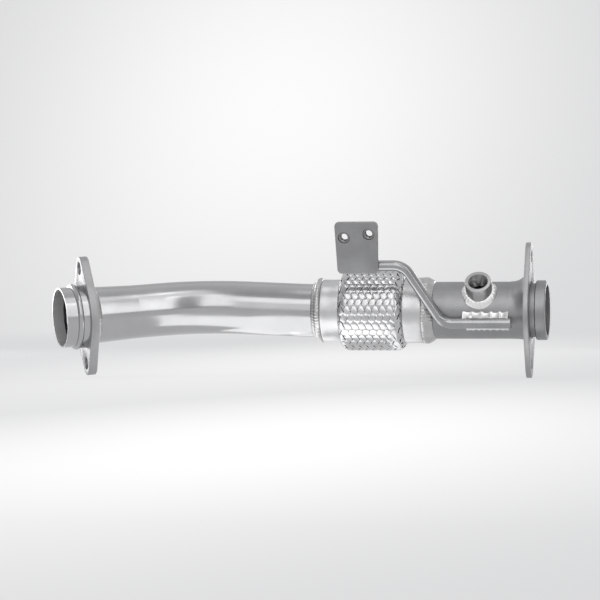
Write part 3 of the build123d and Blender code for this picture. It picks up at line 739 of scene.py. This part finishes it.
class EXHAUST_OT_sensor_boss(bpy.types.Operator):
    """Turn the threaded sensor boss and lay the lumpy bead round its foot"""

    bl_idname = "exhaust.sensor_boss"
    bl_label = "Sensor Boss"

    segments = 96
    edge = 0.8 * MM
    countersink = 1.2 * MM
    thread_rows = 54
    thread_depth = 0.75 * MM
    foot_sink = 0.5 * MM  # how deep the boss stands in the tube
    # share of the colour that the painted shade inside the bore keeps
    bore_shade = 0.5
    bead_steps = 12
    bead_segments_per_ripple = 8
    bead_stretch = 1.25  # of the ripple pitch
    bead_overlap = 0.3 * MM  # how far the bead reaches into the boss
    bead_sink = 0.35 * MM

    def paint_bore_shade(self, material, centre):
        """Paints shade into the thread inside the boss: its colour darkens within the bore, where shade
        falls.
        """
        tree = material.node_tree
        shader = tree.nodes["Principled BSDF"]
        colour = shader.inputs["Base Color"].links[0].from_socket
        inside = inside_of(tree, centre, BOSS_AXIS, BOSS_BORE_R + 1.0 * MM)
        shade = map_range(tree, inside, 1.0, self.bore_shade)
        dark = add_node(tree, "VectorMath", {0: colour, "Scale": shade}, operation="SCALE")
        feed(tree, shader, {"Base Color": dark.outputs[0]})

    def boss(self, place, pitch):
        edge, last = self.edge, self.thread_rows - 1
        rim = quarter((BOSS_REACH - edge, BOSS_R - edge), edge, 90, 0, 4)
        mouth = BOSS_REACH - self.countersink * 0.5

        def outline_at(turn):
            base = tube_height(BOSS_BORE_R, turn) - self.foot_sink
            outline = [(tube_height(BOSS_R, turn) - self.foot_sink, BOSS_R), *rim]
            outline.append((BOSS_REACH, BOSS_BORE_R + self.countersink))
            for share in [row / last for row in range(last + 1)]:
                along = mouth * (1 - share) + base * share
                cone = max(0, along - (BOSS_REACH - self.countersink))
                flank = thread(turn, along, pitch, self.thread_depth)
                outline.append((along, BOSS_BORE_R + max(flank, cone)))
            return outline

        return turned(place, self.segments, outline_at)

    def bead(self, place, beads):
        root = BOSS_R - self.bead_overlap
        width = BOSS_WELD_WIDTH + self.bead_overlap
        count = round(2 * pi * (BOSS_R + BOSS_WELD_WIDTH) / beads.pitch / self.bead_stretch)
        wander = lumps(31, (2, 3, 5, 7), 0.22 * MM)
        slip = lumps(32, (2, 5), 0.2)

        def outline_at(turn):
            outline = []
            for step in range(self.bead_steps + 1):
                share = step / self.bead_steps
                crescent = ripple(count * turn / (2 * pi) + slip(turn), 0.9 * share * (1 - share))
                swell = sin(pi * share) ** 0.7 if 0 < share < 1 else 0
                radius = root + width * share + 0.5 * wander(turn) * share
                rise = BOSS_WELD_HEIGHT * (cos(pi / 2 * share) ** 0.75 if share < 1 else 0)
                rise += swell * (beads.ripple * 1.3 * (crescent - 0.6) + wander(turn))
                outline.append((tube_height(radius, turn) - self.bead_sink + rise, radius))
            outline.append((tube_height(root, turn) - 0.8 * MM, root))
            return outline

        return turned(place, self.bead_segments_per_ripple * count, outline_at)

    def execute(self, context):
        centre = Vector((box_middle("sensor_boss").x, 0, 0))
        place = frame_matrix(centre, BOSS_AXIS, ALONG)
        mesh = self.boss(place, context.scene.exhaust_plates.sensor_pitch)
        boss = add_piece("threaded_boss", mesh, "turned_steel", ["sensor_boss"], crease=radians(28))
        # paint shade into the thread inside the bore
        self.paint_bore_shade(boss.data.materials[0], centre)
        mesh = self.bead(place, context.scene.exhaust_beads)
        # the boss's bead takes the lighter colour of the painted highlight
        add_piece("boss_bead", mesh, "weld_bead", ["sensor_boss_weld"], radians(60), "bright_bead")
        return {"FINISHED"}


ARC_STEP = radians(5)


def outline_of(arcs, inset):
    """A closed outline from arcs of (centre, radius, start, end), each radius less inset."""
    points = []
    for centre, radius, start, end in arcs:
        count = max(2, round((end - start) / ARC_STEP))
        for index in range(count + 1):
            angle = start + (end - start) * index / count
            points.append(centre + Vector((cos(angle), sin(angle))) * (radius - inset))
    return points


def plate(place, arcs, holes, thickness, edge, hole_edge):
    """A flat plate with rounded edges; local x is its normal, holes are (centre, radius)."""
    levels = [(edge * (1 - cos(radians(a))), edge * (1 - sin(radians(a)))) for a in (0, 30, 60, 90)]
    levels += [(thickness - depth, inset) for depth, inset in reversed(levels)]
    rims = [(arcs, -1)]
    rims += [([(centre, radius, 0, 2 * pi - ARC_STEP)], hole_edge / edge) for centre, radius in holes]
    mesh = bmesh.new()
    ends = [[], []]
    for rim, opening in rims:
        loops = []
        for depth, inset in levels:
            outline = outline_of(rim, -inset * opening)
            loops.append([place @ Vector((depth, point.x, point.y)) for point in outline])
        rings = join_loops(mesh, loops, False)
        for edges, ring in zip(ends, (rings[0], rings[-1])):
            for first, second in zip(ring, ring[1:] + ring[:1]):
                edges.append(mesh.edges.get((first, second)))
    for edges in ends:
        bmesh.ops.triangle_fill(mesh, use_beauty=True, use_dissolve=False, edges=edges)
    return mesh


def flange_arcs(width, spacing, ear_r):
    """The hull of a round middle and two ears that stand along local x."""
    lean = acos((width / 2 - ear_r) / (spacing / 2))
    middle = Vector((0, 0))
    ear = Vector((spacing / 2, 0))
    return [
        (ear, ear_r, -lean, lean),
        (middle, width / 2, lean, pi - lean),
        (-ear, ear_r, pi - lean, pi + lean),
        (middle, width / 2, pi + lean, 2 * pi - lean),
    ]


class EXHAUST_OT_flanges(bpy.types.Operator):
    """Cut the two-bolt flanges with rounded edges"""

    bl_idname = "exhaust.flanges"
    bl_label = "Flanges"

    # width of the round middle, spacing of the bolts, radii of the ears and the bore, bolt hole
    inlet = (66 * MM, 90 * MM, 11.3 * MM, 28.6 * MM, 12 * MM)
    outlet = (76 * MM, 101 * MM, 13.5 * MM, 27.1 * MM, 11 * MM)
    hole_edge = 0.6  # a hole's rounding, as a share of the outer edge's

    def flange(self, node, origin, normal, up, thickness, shape, edge):
        width, spacing, ear_r, bore_r, bolt_hole = shape
        ear = Vector((spacing / 2, 0))
        holes = [(Vector((0, 0)), bore_r), (ear, bolt_hole / 2), (-ear, bolt_hole / 2)]
        arcs = flange_arcs(width, spacing, ear_r)
        place = frame_matrix(origin, normal, up)
        mesh = plate(place, arcs, holes, thickness, edge, edge * self.hole_edge)
        add_piece(node + "_plate", mesh, "flange_plate", [node])

    def execute(self, context):
        edge = context.scene.exhaust_plates.edge
        face = box_middle("inlet_flange") + LEG * INLET_FLANGE_THICKNESS / 2
        self.flange("inlet_flange", face, -LEG, LEG_UP, INLET_FLANGE_THICKNESS, self.inlet, edge)
        low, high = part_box("outlet_flange")
        face = Vector((high.x, 0, 0))
        self.flange("outlet_flange", face, -ALONG, UP, high.x - low.x, self.outlet, edge)
        return {"FINISHED"}


def rounded_path(points, radii, step):
    """A polyline whose inner corners are rounded with arcs."""
    path = [points[0]]
    for before, corner, after, radius in zip(points, points[1:], points[2:], radii):
        back, ahead = (before - corner).normalized(), (after - corner).normalized()
        half = back.angle(ahead) / 2
        reach = radius / tan(half)
        centre = corner + (back + ahead).normalized() * radius / sin(half)
        first, last = corner + back * reach - centre, corner + ahead * reach - centre
        turn = pi - 2 * half
        count = max(3, round(radius * turn / step))
        for index in range(count + 1):
            share = index / count
            path.append(
                centre + first * sin((1 - share) * turn) / sin(turn) + last * sin(share * turn) / sin(turn)
            )
    path.append(points[-1])
    return path


class EXHAUST_OT_hanger_bar(bpy.types.Operator):
    """Bend the round hanger bar, with chamfered ends"""

    bl_idname = "exhaust.hanger_bar"
    bl_label = "Hanger Bar"

    segments = 48
    chamfer = 0.9 * MM
    seat_run = 65.0 * MM  # along the outlet tube, up to the lower bend
    slope_run = 34.9 * MM  # along X, from the lower bend to the upper one
    bend_radii = (18 * MM, 16 * MM)
    bend_step = 1.2 * MM

    def execute(self, context):
        low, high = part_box("bracket_rod")
        end = Vector((high.x, high.y - ROD_R, low.z + ROD_R))
        foot = end - ALONG * self.seat_run
        top = Vector((foot.x - self.slope_run, low.y + ROD_R, high.z - ROD_R))
        start = Vector((low.x, top.y, top.z))
        path = rounded_path([start, top, foot, end], self.bend_radii, self.bend_step)
        path.insert(1, start + ALONG * self.chamfer)
        path.insert(-1, end - ALONG * self.chamfer)
        side = UP
        loops = []
        for index, point in enumerate(path):
            ahead = heading(path, index).normalized()
            side = (side - ahead * side.dot(ahead)).normalized()
            other = ahead.cross(side)
            radius = ROD_R - (self.chamfer if index in (0, len(path) - 1) else 0)
            turns = [2 * pi * number / self.segments for number in range(self.segments)]
            loops.append([point + (side * cos(turn) + other * sin(turn)) * radius for turn in turns])
        mesh = bmesh.new()
        capped(mesh, loops)
        add_piece("hanger_bar", mesh, "bar_steel", ["bracket_rod"])
        return {"FINISHED"}


class EXHAUST_OT_bracket(bpy.types.Operator):
    """Press the bracket plate and make the weld nuts behind it"""

    bl_idname = "exhaust.bracket"
    bl_label = "Bracket and Weld Nuts"

    above = 43.8 * MM  # how far the plate reaches above the bar's axis
    bottom_width, top_width = 38.5 * MM, 41.5 * MM
    corner = 4.5 * MM
    hole_gap = 0.1 * MM  # between a nut's pilot and the plate
    places = {"left": Vector((-12.0, 28.8)) * MM, "right": Vector((11.4, 32.0)) * MM}
    nut_segments = 72
    nut_flats = 14.0 * MM
    nut_height = 6.5 * MM
    nut_round = 1.03  # radius of the turned ends, in half widths across the flats
    nut_bevel = 0.4 * MM
    nut_slope = 1.7  # how fast the turned ends widen into the corners
    pilot_height = 1.8 * MM
    pilot_bevel = 0.3 * MM
    thread_r = 3.35 * MM
    thread_rows = 48
    thread_depth = 0.62 * MM
    thread_mouth = 0.6 * MM

    def corner_arcs(self):
        """The trapezoid's corners, counter-clockwise, as arcs."""
        lean = atan2((self.top_width - self.bottom_width) / 2, self.above + PLATE_BELOW)

        def centre(up, level, width):
            pull = self.corner * (1 + up * sin(lean)) / cos(lean)
            return Vector((width / 2 - pull, level - up * self.corner))

        top_right = centre(1, self.above, self.top_width)
        bottom_right = centre(-1, -PLATE_BELOW, self.bottom_width)
        top_left = Vector((-top_right.x, top_right.y))
        bottom_left = Vector((-bottom_right.x, bottom_right.y))
        return [
            (top_right, self.corner, -lean, pi / 2),
            (top_left, self.corner, pi / 2, pi + lean),
            (bottom_left, self.corner, pi + lean, 3 * pi / 2),
            (bottom_right, self.corner, 3 * pi / 2, 2 * pi - lean),
        ]

    def nut(self, place, pitch):
        """A hexagon nut with its pilot towards local x, and a thread through both."""
        flat = self.nut_flats / 2
        round_r = flat * self.nut_round
        front, back, last = self.pilot_height, -self.nut_height, self.thread_rows - 1
        pilot = [
            (0, NUT_PILOT_R),
            (front - self.pilot_bevel, NUT_PILOT_R),
            (front, NUT_PILOT_R - self.pilot_bevel),
        ]

        def outline_at(turn):
            hexagon = flat / cos((turn + pi / 6) % (pi / 3) - pi / 6)

            def body(depth):
                return min(hexagon, round_r + depth * self.nut_slope)

            outline = [(back, round_r - self.nut_bevel)]
            outline += [(back + depth, body(depth)) for depth in (0, 0.25 * MM, 0.5 * MM, 0.75 * MM)]
            outline += [(-self.nut_bevel, body(2 * MM)), (0, body(0.8 * MM)), *pilot]
            for row in range(last + 1):
                along = front + (back - front) * row / last
                mouth = max(0, self.thread_mouth - min(front - along, along - back))
                flank = thread(turn, along, pitch, self.thread_depth)
                outline.append((along, self.thread_r + max(mouth, flank)))
            return outline

        return turned(place, self.nut_segments, outline_at)

    def execute(self, context):
        sizes = context.scene.exhaust_plates
        low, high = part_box("bracket_rod")
        bar = Vector((0, low.y + ROD_R, high.z - ROD_R)) + PLATE_OUT * ROD_R
        origin = Vector((box_middle("bracket_plate").x, bar.y, bar.z))
        # local x out of the plate, y along the pipe and z up the plate
        place = frame_matrix(origin, PLATE_OUT, ALONG)
        holes = [(spot, NUT_PILOT_R + self.hole_gap) for spot in self.places.values()]
        edge = sizes.bracket_edge
        mesh = plate(place, self.corner_arcs(), holes, PLATE_THICKNESS, edge, edge)
        add_piece("bracket_press", mesh, "pressed_plate", ["bracket_plate"])
        for name, spot in self.places.items():
            centre = place @ Vector((0, spot.x, spot.y))
            mesh = self.nut(frame_matrix(centre, PLATE_OUT, ALONG), sizes.nut_pitch)
            add_piece(name + "_nut", mesh, "turned_steel", [name + "_weld_nut"], radians(25), "nut_steel")
        return {"FINISHED"}


class EXHAUST_OT_studio(bpy.types.Operator):
    """Set up the camera, lamps, floor and backdrop"""

    bl_idname = "exhaust.studio"
    bl_label = "Studio"

    photo_pixels = 600
    pixel = 0.956 * MM  # what one pixel spans at the pipe
    sensor = 36.0
    middle = Vector((-0.2222, 0, 0.010))  # where the image's centre looks
    low = FLOOR_Z + 4 * MM
    # name, place, width and height, brightness, what it faces, and its swing round the vertical
    lamps = (
        ("front_box", (0.0, -1.8, 1.5), (0.7, 2.6), 1.4, (0.0, 0, 1.5), 0),
        ("left_strip", (-0.75, -1.8, 1.4), (0.7, 0.9), 1.4, (-0.6, 0, 0), 0),
        ("left_fill", (-0.75, -1.8, 0.42), (0.8, 0.84), 0.7, (-0.6, 0, 0.4), 0),
        ("right_box", (0.84, -1.234, 1.25), (0.32, 2.3), 1.9, (-0.42, -0.094, 1.25), 0),
        ("top_box", (0.08, -0.55, 1.3), (0.6, 0.8), 0.8, (0.08, -0.55, 0), 0),
        ("inlet_face_box", (-1.3, 0.86, 0.2), (0.7, 0.6), 4.2, (-0.42, -0.05, 0), 0),
        ("outlet_face_box", (0.27, 1.3, 0.25), (0.34, 0.5), 3.5, (0, 0, 0.05), 0),
        ("low_run", (-0.245, -0.0573, low), (0.1145, 0.125), 1.05, (-0.245, -0.0573, 1), radians(40)),
        ("low_run_far", (-0.2729, 0.0205, low), (0.0573, 0.03), 1.05, (-0.2729, 0.0205, 1), radians(40)),
        ("low_inlet_ring", (-0.215, 0.025, low), (0.05, 0.05), 0.85, (-0.215, 0.025, 1), 0),
        ("low_sleeve", (-0.1625, -0.0675, low), (0.055, 0.065), 1.2, (-0.1625, -0.0675, 1), 0),
        ("low_outlet_ring", (-0.1215, -0.02, low), (0.024, 0.11), 0.75, (-0.1215, -0.02, 1), 0),
        ("low_outlet_end", (-0.0015, -0.0575, low), (0.023, 0.055), 0.6, (-0.0015, -0.0575, 1), 0),
        ("sleeve_top", (-0.218, -0.05, 0.34), (0.055, 0.1), 2.5, (-0.218, -0.05, 0), 0),
    )
    # what camera and mirror rays see: the room's tones from front to back, and the sweep's
    room_grey = (0.5, 0.5, 0.5)
    room_front, room_back = (0.5, 0.5, 0.505), (0.9, 0.905, 0.91)
    glow_dim, glow_bright = (0.7, 0.705, 0.71), (1.0, 1.0, 1.0)
    glow_strength = 1.06
    glow_share = 0.86
    # rounds of light on the sweep: centre, reach and brightness
    pools = (
        ((-0.98, 4.2, 0.4), (0.95, 3, 0.95), 1.0),
        ((-0.3, 0.6, FLOOR_Z), (0.42, 2.2, 1), 0.6),
        ((-0.02, -1.2, FLOOR_Z), (0.36, 1.4, 1), 1.0),
    )
    # the sweep: a flat floor, a bend and an upright back
    sweep_near, sweep_far, sweep_bend, sweep_top, sweep_half = -6.0, 3.0, 1.2, 5.0, 6.0
    sweep_steps = 12

    def camera(self, settings):
        side = Vector((sin(settings.azimuth), -cos(settings.azimuth), 0))
        back = side * cos(settings.elevation) + UP * sin(settings.elevation)
        data = bpy.data.cameras.new("photo_camera")
        data.sensor_width = self.sensor
        data.lens = self.sensor / self.photo_pixels * settings.distance / self.pixel
        data.clip_end = 50
        camera = place_object("photo_camera", data)
        turn = back.to_track_quat("Z", "Y").to_matrix().to_4x4() @ Matrix.Rotation(settings.roll, 4, "Z")
        camera.matrix_world = Matrix.Translation(self.middle + back * settings.distance) @ turn
        bpy.context.scene.camera = camera

    def lamp(self, name, place, size, brightness, aim, swing):
        """A soft box whose face has the given brightness, where 1 is white, swung round the vertical."""
        data = bpy.data.lights.new(name, "AREA")
        data.shape = "RECTANGLE"
        data.size, data.size_y = size
        data.energy = brightness * pi * size[0] * size[1]
        lamp = place_object(name, data)
        lamp.visible_camera = False
        turn = (Vector(place) - Vector(aim)).to_track_quat("Z", "Y").to_matrix().to_4x4()
        lamp.matrix_world = Matrix.Translation(place) @ Matrix.Rotation(swing, 4, "Z") @ turn

    def seen(self, tree):
        """1 for camera, glossy and transmission rays, else 0."""
        rays = add_node(tree, "LightPath").outputs
        direct = {0: rays["Is Camera Ray"], 1: rays["Is Glossy Ray"]}
        either = add_node(tree, "Math", direct, operation="MAXIMUM").outputs[0]
        through = {0: rays["Is Transmission Ray"], 1: either}
        return add_node(tree, "Math", through, operation="MAXIMUM").outputs[0]

    def show(self, tree, share, lit, shown, output):
        """Mixes what is shown into what is lit by the share, and gives it to the output."""
        mix = add_node(tree, "MixShader", {"Fac": share, 1: lit.outputs[0], 2: shown.outputs[0]})
        feed(tree, tree.nodes[output], {"Surface": mix.outputs[0]})

    def world(self):
        """An even grey room; camera and mirror rays see one that brightens behind the pipe."""
        world = bpy.data.worlds.new("studio_room")
        world.use_nodes = True
        bpy.context.scene.world = world
        tree = world.node_tree
        room = tree.nodes["Background"]
        feed(tree, room, {"Color": (*self.room_grey, 1), "Strength": 1.0})
        place = add_node(tree, "TexCoord").outputs["Generated"]
        depth = add_node(tree, "SeparateXYZ", {0: place}).outputs["Y"]
        depth = map_range(tree, depth, 0.0, 1.0, -0.5, 0.6)
        tone = ramp_between(tree, depth, self.room_front, self.room_back)
        backdrop = add_node(tree, "Background", {"Color": tone, "Strength": 1.0})
        self.show(tree, self.seen(tree), room, backdrop, "World Output")

    def pool(self, tree, centre, reach, height):
        """A soft round of light on the sweep: its full height at the centre, 0 from its reach on."""
        away = distance_from(tree, centre, "DIVIDE", reach)
        return map_range(tree, away, height, 0.0, interpolation="SMOOTHSTEP")

    def sweep_paint(self, settings):
        """A matt paint that shows camera and mirror rays a brighter, softly lit backdrop."""
        material = bpy.data.materials.new("studio_sweep_paint")
        material.use_nodes = True
        tree = material.node_tree
        shader = tree.nodes["Principled BSDF"]
        paint = {"Base Color": (*settings.backdrop, 1), "Roughness": 0.9, "Specular IOR Level": 0}
        feed(tree, shader, paint)
        light = self.pool(tree, *self.pools[0])
        for pool in self.pools[1:]:
            both = {0: light, 1: self.pool(tree, *pool)}
            light = add_node(tree, "Math", both, operation="MAXIMUM").outputs[0]
        tone = ramp_between(tree, light, self.glow_dim, self.glow_bright)
        glow = add_node(tree, "Emission", {"Color": tone, "Strength": self.glow_strength})
        seen = {0: self.seen(tree), 1: self.glow_share}
        share = add_node(tree, "Math", seen, operation="MULTIPLY").outputs[0]
        self.show(tree, share, shader, glow, "Material Output")
        return material

    def floor(self, settings):
        """A floor that sweeps up into the backdrop behind the pipe."""
        near, far, bend, steps = self.sweep_near, self.sweep_far, self.sweep_bend, self.sweep_steps
        line = [(near + (far - near) * step / steps, 0) for step in range(steps + 1)]
        line += quarter((far, bend), bend, -90, 0, steps)[1:]
        line.append((far + bend, self.sweep_top))
        mesh = bmesh.new()
        ends = (-self.sweep_half, self.sweep_half)
        rows = [[mesh.verts.new((x, y, FLOOR_Z + z)) for x in ends] for y, z in line]
        for first, second in zip(rows, rows[1:]):
            mesh.faces.new((first[0], first[1], second[1], second[0]))
        data = smooth_mesh("studio_sweep", mesh)
        data.materials.append(self.sweep_paint(settings))
        place_object("studio_sweep", data)

    def execute(self, context):
        settings = context.scene.exhaust_studio
        context.scene.view_settings.view_transform = "Standard"
        self.camera(settings)
        self.floor(settings)
        self.world()
        for lamp in self.lamps:
            self.lamp(*lamp)
        return {"FINISHED"}


OPERATORS = (
    EXHAUST_OT_studio,
    EXHAUST_OT_tube_finish,
    EXHAUST_OT_woven_sleeve,
    EXHAUST_OT_collars,
    EXHAUST_OT_ring_beads,
    EXHAUST_OT_seat_beads,
    EXHAUST_OT_sensor_boss,
    EXHAUST_OT_flanges,
    EXHAUST_OT_hanger_bar,
    EXHAUST_OT_bracket,
)
GROUPS = {
    "exhaust_sleeve": SleeveSizes,
    "exhaust_beads": BeadSizes,
    "exhaust_plates": PlateSizes,
    "exhaust_finish": FinishColours,
    "exhaust_studio": StudioSettings,
}


class EXHAUST_PT_pieces(bpy.types.Panel):
    """Lists the pieces of the pipe and their sizes"""

    bl_label = "Exhaust Flex Pipe"
    bl_space_type = "VIEW_3D"
    bl_region_type = "UI"
    bl_category = "Exhaust"

    def draw(self, context):
        layout = self.layout
        for name, group in GROUPS.items():
            box = layout.box()
            for setting in group.__annotations__:
                box.prop(getattr(context.scene, name), setting)
        for operator in OPERATORS:
            layout.operator(operator.bl_idname)


def register():
    for name, group in GROUPS.items():
        bpy.utils.register_class(group)
        setattr(bpy.types.Scene, name, PointerProperty(type=group))
    for operator in OPERATORS:
        bpy.utils.register_class(operator)
    bpy.utils.register_class(EXHAUST_PT_pieces)


def unregister():
    bpy.utils.unregister_class(EXHAUST_PT_pieces)
    for operator in reversed(OPERATORS):
        bpy.utils.unregister_class(operator)
    for name, group in reversed(list(GROUPS.items())):
        delattr(bpy.types.Scene, name)
        bpy.utils.unregister_class(group)


def main():
    register()
    bpy.ops.exhaust.studio()
    bpy.ops.exhaust.tube_finish()
    bpy.ops.exhaust.woven_sleeve()
    bpy.ops.exhaust.collars()
    bpy.ops.exhaust.ring_beads()
    bpy.ops.exhaust.seat_beads()
    bpy.ops.exhaust.sensor_boss()
    bpy.ops.exhaust.flanges()
    bpy.ops.exhaust.hanger_bar()
    bpy.ops.exhaust.bracket()


if __name__ == "__main__":
    main()
